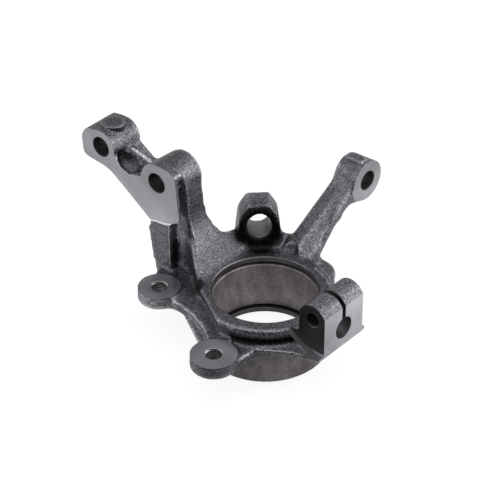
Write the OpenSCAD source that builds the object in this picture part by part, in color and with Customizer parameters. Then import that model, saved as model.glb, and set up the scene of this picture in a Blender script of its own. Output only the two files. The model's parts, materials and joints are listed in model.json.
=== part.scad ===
/* [Hub ring] */
// Diameter of the wheel-bearing seat
bore_d = 72; // [66:0.5:74]
// Length of the wheel-bearing seat
seat_len = 35; // [28:0.5:36]
// Height of the ring from its outboard face to its inboard face
ring_h = 46; // [44:0.5:50]
// Outer diameter of the turned outboard part of the ring
ring_d = 88.4; // [84:0.5:92]
// Outer diameter of the cast inboard rim
rim_d = 93.5; // [91:0.5:97]
// Thickness of the shoulder that the bearing sits against
lip_t = 5; // [3:0.25:7]
// Inner diameter of that shoulder
lip_d = 66.6; // [58:0.2:70]
// Chamfer under the shoulder
lip_chamfer = 1.5; // [0.5:0.1:2.5]
// Width of the snap-ring groove above the seat
groove_w = 2.2; // [1.2:0.1:2.8]
// Depth of the snap-ring groove below the seat
groove_depth = 2; // [1:0.1:2.8]
// Step from the seat up to the wider mouth of the bore
mouth_step = 0.7; // [0.3:0.1:1.2]
// Chamfer around the outboard face
foot_chamfer = 1.2; // [0.4:0.1:2.5]
// Distance from the bore axis to the flat on the rim
rim_flat = 39.1; // [38.6:0.1:42]
// Direction of that flat, from +X
rim_flat_az = 150; // [145:1:155]
// Draft of the cast wall under that flat, in degrees
rim_flat_draft = 16; // [10:1:20]
// Rounding of the edge of the rim
rim_round = 1.2; // [0.6:0.1:2]
// Radius of the cove between the turned wall and the rim
rim_cove = 6; // [4:0.5:8]

/* [Web] */
// Height of the top of the web above the outboard face
web_top = 35; // [33:0.5:37]
// Thickness of the web
web_t = 8; // [6:0.5:10]
// Thickness of the thin flange between the lower ear and the clamp
flange_t = 3; // [2:0.2:4]
// Height of that flange above the web
flange_rise = 1.2; // [0.6:0.1:1.8]
// Radius of the step around the near side of the rim
step_r = 50.2; // [48.5:0.1:52]
// Drop from the inboard face to that step
step_drop = 3.8; // [2:0.1:6]
// Direction of the end of that step beside the lower ear, from +X
step_az = 191; // [188:1:196]
// Outer radius of the raised wall behind the ring
collar_r = 60; // [59:0.1:61]
// Height of that wall above the inboard face
collar_rise = 8.5; // [6:0.1:10]
// Height of the wall above the inboard face where it runs into the strut arm
saddle_rise = 11.5; // [10:0.1:13]
// Depth of the relief that rounds the edge of the web between the ears
web_relief = 4.5; // [3:0.1:6]
// Radius of that relief
relief_r = 70; // [68:0.5:71]
// Relief centre along X
relief_x = -111; // [-112:0.1:-110]
// Relief centre along Y
relief_y = 46; // [44:0.1:48]

/* [Caliper ears] */
// Upper ear centre along X
ear_up_x = -36.8; // [-40:0.1:-33]
// Upper ear centre along Y
ear_up_y = 64.8; // [61:0.1:69]
// Lower ear centre along X
ear_low_x = -67; // [-71:0.1:-63]
// Lower ear centre along Y
ear_low_y = -12.8; // [-17:0.1:-9]
// Height of the spot faces above the web
ear_rise = 2; // [1:0.1:4]
// Thickness of the ears at the spot faces
ear_t = 8.5; // [7:0.5:12]
// Radius of the spot face of the upper ear
ear_up_r = 14.6; // [13:0.1:17]
// Radius of the spot face of the lower ear
ear_low_r = 15.8; // [14:0.1:18]
// Width of the step between the spot face and the web around it
ear_step = 0.4; // [0.2:0.1:0.8]
// Growth of the ear radius from the spot face to its underside
ear_draft = 0.3; // [0.2:0.1:1.6]
// Tapping diameter of the ear threads
ear_hole_d = 10.2; // [8:0.1:12.4]
// Countersink at the mouth of the ear threads
ear_sink = 0.6; // [0.3:0.1:1.6]

/* [Strut flange] */
// Position of the machined strut face along X
strut_face_x = -16; // [-19:0.5:-13]
// Thickness of the strut flange
strut_t = 28; // [24:0.5:32]
// Lower strut hole along Y
strut_low_y = 84.2; // [82:0.1:88]
// Lower strut hole along Z
strut_low_z = 103; // [100:0.1:108]
// Spacing of the strut holes along Y
strut_dy = 52.4; // [48:0.1:56]
// Spacing of the strut holes along Z
strut_dz = 7.1; // [3:0.1:12]
// Diameter of the strut bolt holes
strut_hole_d = 14.6; // [10:0.1:16]
// Radius of the lower strut boss at the machined face
strut_low_r = 14.4; // [13:0.1:16]
// Radius of the upper strut boss at the machined face
strut_up_r = 12.8; // [11:0.1:14]
// Loss of boss radius from the machined face to the back
strut_boss_draft = 1.2; // [0.4:0.1:2]
// Reach of the squared lug beyond the upper strut hole
lug_reach = 18.4; // [17.6:0.1:19.2]
// Thickness of the rib between the strut bosses
strut_rib_t = 3; // [2:0.5:6]
// Height of the cast face below the bosses over the machined face
cast_rise = 0.5; // [0.2:0.1:0.7]
// Radius of the face cutter about the lower strut hole
cutter_r = 30.6; // [29:0.2:32]
// Radius of the raised pad on the upper strut boss
strut_pad_r = 8.2; // [5:0.1:10]
// Centre of that pad along X
strut_pad_x = -2.6; // [-4:0.1:0]
// Height of that pad above the boss
strut_pad_h = 1.5; // [0.6:0.1:2]

/* [Strut arm] */
// Position of the recessed side of the arm along X
arm_side_x = -8; // [-10:0.5:-6]
// Y where the broad face of the arm leaves the ring
arm_foot_y = 38; // [36:0.5:40]
// Slope of the broad face where it leaves the ring, in degrees
arm_slope = 34; // [30:1:38]
// Slope of the broad face below the lower strut boss, in degrees
arm_steep = 84; // [79:1:87]
// Y of the bend between the two slopes
arm_knee_y = 63.9; // [62.5:0.1:65]
// Radius of that bend
arm_bend_r = 32; // [20:1:40]

/* [Ball-joint clamp] */
// Distance from the bore axis to the machined clamp face
clamp_face_y = 68; // [66:0.5:72]
// Width of the clamp
clamp_w = 40; // [36:0.5:44]
// Diameter of the ball-joint stud hole
stud_d = 16.2; // [12:0.1:18]
// Height of the stud hole above the outboard face
stud_z = 47.8; // [46:0.1:50]
// Width of the clamping slot
slot_w = 3.6; // [2:0.1:6]
// Diameter of the pinch-bolt hole
pinch_d = 10.2; // [8:0.1:11.4]
// Distance from the clamp face to the pinch bolt
pinch_back = 10.5; // [9.5:0.1:12]
// Height of the pinch bolt above the stud hole
pinch_rise = 12.3; // [11:0.1:14]
// Radius of the rounded top of the clamp
clamp_r = 11.2; // [9:0.1:13]
// Radius of the spot-face cutter that trims the sides of the clamp
spot_r = 38; // [34:0.5:44]

/* [Steering arm] */
// Tie-rod eye along X
eye_x = 109.5; // [106:0.1:114]
// Tie-rod eye along Z
eye_z = 79; // [76:0.1:82]
// Diameter of the tie-rod eye hole
eye_d = 14.3; // [10:0.1:17]
// Radius of the tie-rod eye
eye_r = 15.2; // [13:0.1:17]
// Loss of eye radius from the machined face to the back
eye_draft = 0.9; // [0.2:0.1:1.5]
// Height of the lug on top of the eye
eye_lug_h = 1.8; // [1.2:0.1:2.4]
// Thickness of the tie-rod eye along Y
eye_t = 20; // [16:0.5:24]
// Rise of the steering arm, in degrees
steer_rise = 29; // [26:1:32]
// Thickness of the rib under the steering arm
steer_rib_t = 7; // [6:0.5:8]
// Setback of that rib from the machined face of the eye
steer_rib_y = 0.6; // [0.3:0.1:1.2]
// Root of the steering arm's axis along X and along Z
steer_root = 46; // [45.5:0.1:46.5]

/* [Speed-sensor boss] */
// Direction of the sensor boss, from +X
abs_az = 45.4; // [42:0.1:49]
// Distance from the bore axis to the back face of the boss
abs_back = 72.5; // [70:0.5:75]
// Length of the boss along its hole
abs_len = 18.5; // [16:0.5:20]
// Diameter of the sensor hole
abs_d = 17.4; // [12:0.1:18.4]
// Height of the sensor hole above the inboard face
abs_rise = 15.2; // [14:0.1:17]
// Height of the top of the boss above the sensor hole
abs_cap = 15.4; // [14:0.1:18]
// Half width of the top of the boss
abs_half_w = 8; // [6:0.1:10]
// Growth of that half width down to the foot of the boss
abs_flare = 9.2; // [8:0.1:10]
// Reach of the front of the foot beyond the front of the hole
abs_toe = 6.7; // [6:0.1:7.4]
// Sideways draft of the boss, in degrees
abs_draft = 5; // [2:0.5:8]

/* [Hidden] */
$fn = 96;
eps = 0.01;
far = 200;
over = 10;
sink = 2;
arc_steps = 8;
groove_z = lip_t + seat_len;
web_bot = web_top - web_t;
ear_z = web_top + ear_rise;
step_z = ring_h - step_drop;
strut_low = [strut_low_y, strut_low_z];
strut_up = strut_low + [strut_dy, strut_dz];
strut_back_x = strut_face_x + strut_t;
half_w = clamp_w / 2;
pinch_y = clamp_face_y - pinch_back;
pinch_z = stud_z + pinch_rise;
abs_z = ring_h + abs_rise;
abs_front = abs_back - abs_len;
cast_iron = [0.36, 0.35, 0.37];

// A unit vector along v
function unit(v) = v / norm(v);

// A unit vector in a direction, from +X
function ray(az) = [cos(az), sin(az)];

// The corner b of a path a-b-c as an arc of radius b[2], or as it is without a radius
function corner(a, b, c) =
    let (
        r = len(b) > 2 ? b[2] : 0,
        at = [b[0], b[1]],
        u = unit([a[0], a[1]] - at),
        v = unit([c[0], c[1]] - at)
    )
    r == 0 ? [at] :
    let (
        half = acos(u * v) / 2,
        mid = at + unit(u + v) * r / sin(half),
        from = at + u * r / tan(half) - mid,
        to = at + v * r / tan(half) - mid,
        start = atan2(from[1], from[0]),
        turn = (atan2(to[1], to[0]) - start + 3 * 180) % 360 - 180
    )
    [for (i = [0 : arc_steps]) mid + r * ray(start + turn * i / arc_steps)];

// An outline whose corners [x, y, radius] are rounded
function rounded(p) =
    [for (i = [0 : len(p) - 1]) each corner(p[(i + len(p) - 1) % len(p)], p[i], p[(i + 1) % len(p)])];

// Extrudes a plan outline from z0 to z1
module plan(z0, z1) translate([0, 0, z0]) linear_extrude(z1 - z0) children();
// Extrudes a (Y, Z) outline from x0 to x1
module side(x0, x1) translate([x0, 0, 0]) rotate([90, 0, 90]) linear_extrude(x1 - x0) children();
// Extrudes an (X, Z) outline from y0 to y1
module front(y0, y1) translate([0, y1, 0]) rotate([90, 0, 0]) linear_extrude(y1 - y0) children();
// A cone along +X at (y, z) = p
module boss_x(p, x0, x1, r0, r1)
    translate([x0, p[0], p[1]]) rotate([0, 90, 0]) cylinder(h = x1 - x0, r1 = r0, r2 = r1);
// A cylinder along +Y at (x, z) = p
module drill_y(p, y0, y1, d) translate([p[0], y0, p[1]]) rotate([-90, 0, 0]) cylinder(h = y1 - y0, d = d);
// A wedge of the plan between two directions
module sector(az0, az1) polygon([[0, 0], far * ray(az0), far * ray((az0 + az1) / 2), far * ray(az1)]);

// The bearing ring with its cast rim, flat and step
module hub() {
    difference() {
        rotate_extrude() polygon(rounded([
            [0, 0], [ring_d / 2 - foot_chamfer, 0], [ring_d / 2, foot_chamfer],
            [ring_d / 2, web_bot, rim_cove], [rim_d / 2, web_bot + rim_cove],
            [rim_d / 2, ring_h, rim_round], [0, ring_h]]));
        rotate([0, 0, rim_flat_az]) translate([rim_flat, -far / 2, web_top]) rotate([0, rim_flat_draft, 0])
            translate([0, 0, -web_t / 2]) cube(far);
    }
    intersection() {
        plan(web_top - sink, step_z) circle(step_r);
        plan(0, far) sector(step_az, 270);
    }
}

module web_outline() {
    polygon(rounded([[-48, 70], [-27, 78], [-19, 82], [0, 82], [0, 30], [-24, 0], [-30, -30], [-63, -27.8],
        [-80, -20], [-61, 4], [-38.6, 42.4, 14], [-45, 56]]));
    translate([ear_up_x, ear_up_y]) circle(ear_up_r - ear_step);
    translate([ear_low_x, ear_low_y]) circle(ear_low_r - ear_step);
}

module flange_outline() {
    polygon([[-44, -32], [-38, -41.3], [-32.3, -49.8], [-27.5, -62], [-25, -clamp_face_y],
             [22.5, -clamp_face_y], [44, -25], [50, -20.5], [57.3, -15], [60.3, -11], [62.2, -6],
             [62.6, 0.6], [66, 6], [60, 20], [0, 20], [-40, 0]]);
}

// The plate that carries the ears, the thin near flange and the foot of the steering arm
module web() {
    difference() {
        plan(web_bot, web_top) web_outline();
        plan(web_top - web_relief, web_top + over) translate([relief_x, relief_y]) circle(relief_r);
    }
    difference() {
        union() {
            plan(web_top + flange_rise - flange_t, web_top + flange_rise) flange_outline();
            plan(web_bot + sink, web_top + sink) polygon(rounded([[30, 20], [62, 4], [62, -8, 6], [57, -15],
                [49, -20.3], [34, -38], [20, -20]]));
        }
        plan(0, far) circle(bore_d / 2 + sink);
    }
}

module ear(x, y, r) translate([x, y, ear_z - ear_t]) cylinder(h = ear_t, r1 = r + ear_draft, r2 = r);

// The outline of the strut flange in (Y, Z): notch, long edge, squared lug and valley between the bosses
module strut_outline() {
    lug_y = strut_up[0] + lug_reach;
    lug_z = strut_up[1];
    polygon(rounded([
        [strut_low_y - 12.2, web_bot], [strut_low_y + 2.6, web_bot], [strut_low_y + 8.4, strut_low_z - 38.4, 2],
        [strut_low_y + 5.8, strut_low_z - 33.8], [lug_y - 25.4, lug_z - 14.6, 26],
        [lug_y - 1, lug_z - 12.6, 5], [lug_y + 0.3, lug_z + 3, 6], [lug_y - 4.6, lug_z + 10.6, 6],
        strut_up + [0, strut_up_r - 1], strut_up, strut_up - [13.2, 3.9], strut_low + [27.3, -4.2],
        strut_low + [19.8, -1.8], strut_low, [strut_low_y - 12.2, strut_low_z - 9]]));
}

module strut_bosses() {
    boss_x(strut_up, strut_face_x, strut_back_x, strut_up_r, strut_up_r - strut_boss_draft);
    boss_x(strut_low, strut_face_x, strut_back_x, strut_low_r, strut_low_r - strut_boss_draft);
    boss_x(strut_low - [2.2, 0.6], arm_side_x - 2, strut_back_x, strut_low_r - 1.4, strut_low_r + 0.6);
    translate([strut_pad_x, strut_up[0] + 0.4, strut_up[1]])
        cylinder(h = strut_up_r + strut_pad_h, r = strut_pad_r);
    side(-strut_rib_t / 2, strut_rib_t / 2) polygon([
        strut_up - [5.6, 0.3], strut_low + [19.2, 1.9], strut_low + [over, -3], strut_low + [26, -13],
        strut_up - [6.6, 10]]);
}

// The broad curved face of the arm in (Y, Z), from the ring up to the lower boss
module arm_outline() {
    top_z = strut_low_z;
    knee_z = ring_h + (arm_knee_y - arm_foot_y) * tan(arm_slope);
    polygon(rounded([[30, web_bot], [30, ring_h - 4], [arm_foot_y, ring_h],
        [arm_knee_y, knee_z, arm_bend_r], [arm_knee_y + (top_z - knee_z) / tan(arm_steep), top_z],
        [strut_low_y - 2.2, top_z + 5], [strut_low_y + 5.8, top_z - 39], [strut_low_y + 2.5, web_bot]]));
}

module arm_plan() {
    polygon(rounded([[arm_side_x, 88], [arm_side_x, 64], [-9, 60], [-27, 36], [-20, 20], [30, 20],
        [27.4, 44], [19.6, 55, 10], [strut_back_x, 67], [strut_back_x, 88]]));
}

// The strut arm: the machined flange, its lip and shoulder, and the bent beam down to the ring
module strut() {
    side(strut_face_x, strut_back_x) strut_outline();
    difference() {
        side(strut_face_x - cast_rise, strut_face_x + sink) intersection() {
            strut_outline();
            polygon([[0, 0], [far, 0], [far, web_top], [100, 67.5], strut_low - [0, cutter_r], [60, 90]]);
        }
        boss_x(strut_low, strut_face_x - over, strut_back_x, cutter_r, cutter_r);
    }
    strut_bosses();
    y = strut_low[0];
    z = strut_low[1];
    side(strut_face_x, strut_face_x + 3) intersection() {
        polygon([[y - 20.8, z - 26.5], [y - 17, z + 11], [y, z + 7], [y, z - cutter_r + 3], [y - 11, z - 31]]);
        translate(strut_low) circle(cutter_r);
    }
    side(strut_face_x, strut_face_x + 8) polygon(rounded([[y - 17.3, z + 7.5], [y - 16.9, z + 11.5, 2],
        [y - 10.7, z + strut_low_r - 0.1, 6], [y - 3.7, z + strut_low_r], [y - 0.2, z + 2], [y - 12.2, z + 1]]));
    intersection() {
        side(-40, 40) arm_outline();
        plan(0, far) arm_plan();
    }
}

// The wall behind the ring that carries the sensor boss
module collar() {
    foot = web_top - web_t / 2;
    rotate([0, 0, 12]) rotate_extrude(angle = 62) polygon(rounded([[40, foot], [collar_r - 4, foot],
        [collar_r, web_top + 5], [collar_r, ring_h + collar_rise, 1.5], [50, ring_h + 0.2, 6],
        [46, ring_h + 0.2], [40, ring_h - sink]]));
    rotate([0, 0, 57.5]) rotate_extrude(angle = 23) polygon([[43, ring_h - 4], [collar_r - 1, web_top + 6],
        [collar_r - 0.2, ring_h + saddle_rise], [collar_r - 2, ring_h + saddle_rise], [49.5, ring_h + 1],
        [43, ring_h - 1]]);
}

// The drafted block around the sensor hole, whose front leans towards the ring
module sensor_boss() {
    top = abs_z + abs_cap;
    foot = ring_h - 8;
    back_w = abs_half_w + abs_flare;
    front_w = back_w - (abs_len + 8) * tan(abs_draft);
    rotate([0, 0, abs_az]) intersection() {
        side(abs_front - 8, abs_back) polygon(rounded([[-back_w, foot], [-back_w + 2.4, abs_z - 2, 20],
            [-back_w + 3.2, abs_z + 6, 8], [-abs_half_w, top, 1.5], [abs_half_w, top, 1.5],
            [back_w - 3.2, abs_z + 6, 8], [back_w - 2.4, abs_z - 2, 20], [back_w, foot]]));
        plan(0, far) polygon([[abs_front - 8, -front_w], [abs_back, -back_w], [abs_back, back_w],
            [abs_front - 8, front_w]]);
        front(-far, far) polygon(rounded([[abs_front - abs_toe, foot], [abs_front - abs_toe, ring_h],
            [abs_front + 0.8, top, 2], [abs_back, top], [abs_back, foot]]));
    }
}

// The steering arm: a ridged beam that widens towards its foot, the rib under it and the tie-rod eye
module steering() {
    rib_mid = steer_rib_y + steer_rib_t / 2;
    drum = eye_r - eye_draft;
    translate([eye_x, eye_t, eye_z]) rotate([90, 0, 0]) cylinder(h = eye_t, r1 = drum, r2 = eye_r);
    difference() {
        intersection() {
            translate([steer_root, 0, steer_root]) rotate([0, 90 - steer_rise, 0]) rotate([0, 0, 180])
                translate([0, 0, -12]) linear_extrude(74) polygon(rounded([
                    [-18, 1.8], [-18, -21], [4.8, -21, 3], [6.8, -8, 3], [-1, -0.4, 4], [-11, 1.5]]));
            plan(0, far) polygon(rounded([[80, -4], [48, -4.2], [43.5, -2, 2], [41.5, 2.8, 3], [43, 7.2],
                [47, 12], [40, 28], [64, 26], [90, 21], [eye_x + 0.5, eye_t], [eye_x + 2.5, 0]]));
            front(-over, 3 * over) polygon([[41, web_bot + 2.4], [51, 32], [59.4, 40.5],
                [eye_x - 24.2, eye_z - 14.6], [eye_x - 15.5, eye_z - 13], [eye_x - 5.5, eye_z - 14.4],
                [eye_x + 2.5, eye_z], [eye_x - 5.5, eye_z + 13], [38, 60]]);
        }
        front(-far, rib_mid) polygon(rounded([[52, -far], [52, 31.5], [57, 39, 2], [58, 44], [61, 51.5],
            [64, 55.5], [69.2, 60], [76.3, 67.3], [85, 74.4], [95, 81.5], [far, 81.5], [far, -far]]));
    }
    front(5, eye_t) polygon(rounded([[80, 66], [80, 69.6], [eye_x - 17.5, eye_z - 1.4, 8],
        [eye_x - 13, eye_z + 5.6, 4], [eye_x - 2.5, eye_z + 12], [eye_x, eye_z], [eye_x - 5.5, eye_z - 11]]));
    front(steer_rib_y, steer_rib_y + steer_rib_t) polygon(rounded([[50, 34], [58, 38.5], [77, 58, 3],
        [83.7, 60, 1.5], [84, 63, 1.5], [eye_x - 17.8, eye_z - 12.8], [eye_x - 5.5, eye_z - 14.5], [eye_x, eye_z],
        [eye_x - 13.5, eye_z + 3], [eye_x - 24.5, eye_z - 4.8],
        [76.3, 67], [72, 62], [69.2, 57.8], [58, 44]]));
    plan(eye_z, eye_z + eye_r + eye_lug_h) translate([eye_x, 0]) polygon([
        [-6.1, 1.3], [2.4, 2.5], [3.2, 12.5], [-3.1, 17], [-6.2, 15.1]]);
}

// The split clamp for the ball-joint stud, on its spot-faced foot
module clamp_block() {
    side(-half_w, half_w) intersection() {
        union() {
            translate([-pinch_y, pinch_z]) circle(clamp_r);
            polygon([[-clamp_face_y, web_top - 0.8], [-40, web_top - 1.5], [-40, ring_h - 1],
                [-rim_d / 2 + 0.4, ring_h], [-pinch_y + clamp_r - 0.1, pinch_z],
                [-pinch_y, pinch_z + clamp_r - 1], [-clamp_face_y, pinch_z]]);
        }
        translate([-clamp_face_y, 0]) square([far, far]);
    }
    difference() {
        side(-half_w - 4, half_w + 2.5) polygon([[-clamp_face_y, web_top - 0.8], [-46, web_bot + 3],
            [-36, web_bot], [-36, ring_h - 1], [-44, ring_h - 2], [-58, ring_h - 2],
            [-clamp_face_y, ring_h - 2]]);
        for (x = [-half_w - 2 * over, half_w])
            boss_x([sink - clamp_face_y, web_top + spot_r], x, x + 2 * over, spot_r, spot_r);
    }
}

module blank() {
    hub();
    web();
    ear(ear_up_x, ear_up_y, ear_up_r);
    ear(ear_low_x, ear_low_y, ear_low_r);
    strut();
    collar();
    sensor_boss();
    steering();
    clamp_block();
}

// The stepped bore: shoulder, bearing seat, snap-ring groove and mouth
module bearing_bore() {
    translate([0, 0, -eps]) cylinder(h = lip_chamfer + eps, r1 = lip_d / 2 + lip_chamfer, r2 = lip_d / 2);
    translate([0, 0, -over]) cylinder(h = far, d = lip_d);
    translate([0, 0, lip_t]) cylinder(h = far, d = bore_d);
    translate([0, 0, groove_z]) cylinder(h = groove_w, d = bore_d + 2 * groove_depth);
    translate([0, 0, groove_z + groove_w - eps]) cylinder(h = far, d = bore_d + 2 * mouth_step);
}

module ear_thread(x, y) {
    translate([x, y, ear_z - ear_t - over]) cylinder(h = ear_t + 2 * over, d = ear_hole_d);
    translate([x, y, ear_z - ear_sink]) cylinder(h = ear_sink + eps, r1 = ear_hole_d / 2,
        r2 = ear_hole_d / 2 + ear_sink + eps);
}

module clamp_cuts() {
    drill_y([0, stud_z], -clamp_face_y - over, 1 - ring_d / 2, stud_d);
    translate([-slot_w / 2, -far - 38, stud_z]) cube([slot_w, far, far]);
    boss_x([-pinch_y, pinch_z], -half_w - over, half_w + over, pinch_d / 2, pinch_d / 2);
}

// The whole casting, with the origin on the bore axis at the shoulder that the bearing sits against
module knuckle() color(cast_iron) translate([0, 0, -lip_t]) difference() {
    blank();
    bearing_bore();
    ear_thread(ear_up_x, ear_up_y);
    ear_thread(ear_low_x, ear_low_y);
    for (p = [strut_low, strut_up])
        boss_x(p, strut_face_x - over, strut_back_x + over, strut_hole_d / 2, strut_hole_d / 2);
    clamp_cuts();
    drill_y([eye_x, eye_z], -over, eye_t + over, eye_d);
    rotate([0, 0, abs_az]) boss_x([0, abs_z], abs_front - over, abs_back + over, abs_d / 2, abs_d / 2);
}

knuckle();
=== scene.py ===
"""Steering knuckle: the machined casting as it lies on a white studio table."""

import json
import math

import bmesh
import bpy
import numpy as np
from bpy.props import FloatProperty, FloatVectorProperty, IntProperty, PointerProperty
from mathutils import Matrix, Vector


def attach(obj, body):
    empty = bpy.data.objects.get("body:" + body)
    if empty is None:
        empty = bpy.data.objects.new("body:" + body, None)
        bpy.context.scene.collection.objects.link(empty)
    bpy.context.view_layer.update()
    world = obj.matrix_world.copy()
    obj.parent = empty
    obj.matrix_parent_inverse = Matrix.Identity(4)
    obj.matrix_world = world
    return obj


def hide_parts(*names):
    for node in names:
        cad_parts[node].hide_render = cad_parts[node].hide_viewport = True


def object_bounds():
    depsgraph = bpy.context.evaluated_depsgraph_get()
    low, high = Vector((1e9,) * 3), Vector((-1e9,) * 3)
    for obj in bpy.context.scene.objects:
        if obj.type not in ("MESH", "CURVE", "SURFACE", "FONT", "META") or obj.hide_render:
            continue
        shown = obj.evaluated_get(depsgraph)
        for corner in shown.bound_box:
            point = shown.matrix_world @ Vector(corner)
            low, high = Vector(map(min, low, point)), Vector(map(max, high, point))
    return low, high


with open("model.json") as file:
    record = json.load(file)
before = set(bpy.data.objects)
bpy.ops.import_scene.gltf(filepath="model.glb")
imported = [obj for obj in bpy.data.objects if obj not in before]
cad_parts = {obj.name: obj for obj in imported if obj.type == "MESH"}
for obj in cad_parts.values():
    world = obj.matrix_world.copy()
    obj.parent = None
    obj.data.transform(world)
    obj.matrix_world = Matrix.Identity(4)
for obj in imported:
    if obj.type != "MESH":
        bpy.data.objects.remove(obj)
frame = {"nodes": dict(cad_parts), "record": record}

bl_info = {
    "name": "Steering Knuckle",
    "version": (1, 0, 0),
    "blender": (4, 5, 0),
    "location": "View3D > Sidebar > Knuckle",
    "description": "Builds the cast and machined surfaces of a steering knuckle and a studio around it",
    "category": "Object",
}

MM = 0.001
NODE = "knuckle"
CAD_BOX = [list(corner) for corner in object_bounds()]
MOUNTS = {mount["name"]: mount for mount in frame["record"]["mounts"]}


def mount_at(name):
    """Where a mount is, and the direction it faces."""
    mount = MOUNTS[name]
    return Vector(mount["pos_m"]), Vector(mount["axis"]).normalized()


def mount_radius(name):
    return MOUNTS[name]["dims"]["r_mm"] * MM


def mount_length(name):
    return MOUNTS[name]["dims"]["length_mm"] * MM


class KnuckleCasting(bpy.types.PropertyGroup):
    skin_pitch: FloatProperty(
        name="Skin pitch",
        description="Spacing of the points on the cast skin",
        default=1.15 * MM, min=0.9 * MM, max=3 * MM, precision=5, unit="LENGTH", subtype="DISTANCE",
    )
    edge_passes: IntProperty(
        name="Edge passes", description="Smoothing passes that round the cast edges", default=4, min=0, max=20,
    )
    fillet_passes: IntProperty(
        name="Fillet passes", description="Passes that fill the inner corners of the casting", default=34, min=0,
        max=120,
    )
    sand_depth: FloatProperty(
        name="Sand depth",
        description="Height of the waves that the sand mould leaves on the skin",
        default=0.16 * MM, min=0, max=0.5 * MM, precision=5, unit="LENGTH", subtype="DISTANCE",
    )
    skin_colour: FloatVectorProperty(
        name="Cast skin", description="Colour of the cast skin", default=(0.20, 0.192, 0.212), min=0, max=1,
        subtype="COLOR",
    )


class KnuckleMachining(bpy.types.PropertyGroup):
    stock: FloatProperty(
        name="Stock", description="Material left on each face before it is machined",
        default=3 * MM, min=1 * MM, max=6 * MM, precision=4, unit="LENGTH", subtype="DISTANCE",
    )
    edge_break: FloatProperty(
        name="Edge break", description="Chamfer at the mouth of each hole",
        default=0.45 * MM, min=0.1 * MM, max=1 * MM, precision=5, unit="LENGTH", subtype="DISTANCE",
    )
    thread_pitch: FloatProperty(
        name="Thread pitch", description="Pitch of the caliper bolt threads",
        default=1.5 * MM, min=1 * MM, max=2 * MM, precision=4, unit="LENGTH", subtype="DISTANCE",
    )
    milled_colour: FloatVectorProperty(
        name="Milled face", description="Colour of the milled faces", default=(0.45, 0.435, 0.465), min=0, max=1,
        subtype="COLOR",
    )
    turned_colour: FloatVectorProperty(
        name="Turned bore", description="Colour of the turned bore and ring wall", default=(0.38, 0.35, 0.345),
        min=0, max=1, subtype="COLOR",
    )


class KnuckleStage(bpy.types.PropertyGroup):
    azimuth: FloatProperty(
        name="Azimuth", description="Direction the camera looks from, about the bore axis",
        default=math.radians(-48.9), subtype="ANGLE",
    )
    elevation: FloatProperty(
        name="Elevation", description="Height of the camera above the table, as an angle",
        default=math.radians(35.9), subtype="ANGLE",
    )
    distance: FloatProperty(
        name="Distance", description="Distance from the camera to the middle of the ring's mouth",
        default=1.3559, unit="LENGTH", subtype="DISTANCE",
    )
    floor_colour: FloatVectorProperty(
        name="Table", description="Colour of the table", default=(0.80, 0.80, 0.80), min=0, max=1, subtype="COLOR",
    )
    top_power: FloatProperty(
        name="Top light", description="Power of the large soft light overhead", default=11.0, min=0, unit="POWER",
    )
    side_power: FloatProperty(
        name="Side lights", description="Power of each soft light at the left, right and back", default=4.8, min=0,
        unit="POWER",
    )


def remove_if_there(name):
    """Lets an operator run twice: the object of that name is dropped first."""
    old = bpy.data.objects.get(name)
    if old is not None:
        bpy.data.objects.remove(old)


def object_from(bm, name, materials=()):
    """A new object from a bmesh, which is freed."""
    mesh = bpy.data.meshes.new(name)
    bm.to_mesh(mesh)
    bm.free()
    for material in materials:
        mesh.materials.append(material)
    made = bpy.data.objects.new(name, mesh)
    bpy.context.scene.collection.objects.link(made)
    return made


def apply_modifiers(obj):
    """Replaces the object's mesh by what its modifiers make of it."""
    bpy.context.view_layer.update()
    evaluated = obj.evaluated_get(bpy.context.evaluated_depsgraph_get())
    mesh = bpy.data.meshes.new_from_object(evaluated)
    obj.modifiers.clear()
    old = obj.data
    obj.data = mesh
    bpy.data.meshes.remove(old)


def combine(obj, other, operation):
    """Joins another solid to an object or takes it away, with the other's materials on the faces that it makes."""
    boolean = obj.modifiers.new(other.name, "BOOLEAN")
    boolean.operation = operation
    boolean.solver = "MANIFOLD"
    boolean.object = other
    boolean.material_mode = "TRANSFER"
    apply_modifiers(obj)
    bpy.data.objects.remove(other)


# Solids


def axis_frame(origin, axis):
    """A transform that puts local Z on an axis at an origin."""
    turn = Vector(axis).to_track_quat("Z", "Y").to_matrix().to_4x4()
    return Matrix.Translation(Vector(origin)) @ turn


def lathe(bm, profile, place, steps=72):
    """Turns a profile of (radius, height) that ends on the axis about local Z, in an empty bmesh."""
    verts = [bm.verts.new((r, 0, z)) for r, z in profile]
    edges = [bm.edges.new(pair) for pair in zip(verts, verts[1:])]
    bmesh.ops.spin(
        bm, geom=verts + edges, cent=(0, 0, 0), axis=(0, 0, 1), angle=2 * math.pi, steps=steps, use_merge=True,
    )
    bmesh.ops.remove_doubles(bm, verts=bm.verts, dist=1e-7)
    bmesh.ops.recalc_face_normals(bm, faces=bm.faces)
    bmesh.ops.transform(bm, matrix=place, verts=bm.verts)


def hole_profile(radius, depth, chamfer, above):
    """Profile of a drill that breaks the edge at height 0 and, in the same way, the far edge at -depth."""
    return [
        (0, -depth - above), (radius + chamfer, -depth - above), (radius + chamfer, -depth),
        (radius, -depth + chamfer), (radius, -chamfer), (radius + chamfer, 0), (radius + chamfer, above), (0, above),
    ]


def block(bm, low, high):
    """A box between two corners, in metres."""
    low, high = Vector(low), Vector(high)
    made = bmesh.ops.create_cube(bm, size=1)
    scale = Matrix.Diagonal((*(high - low), 1))
    bmesh.ops.transform(bm, matrix=Matrix.Translation((low + high) / 2) @ scale, verts=made["verts"])


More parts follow.
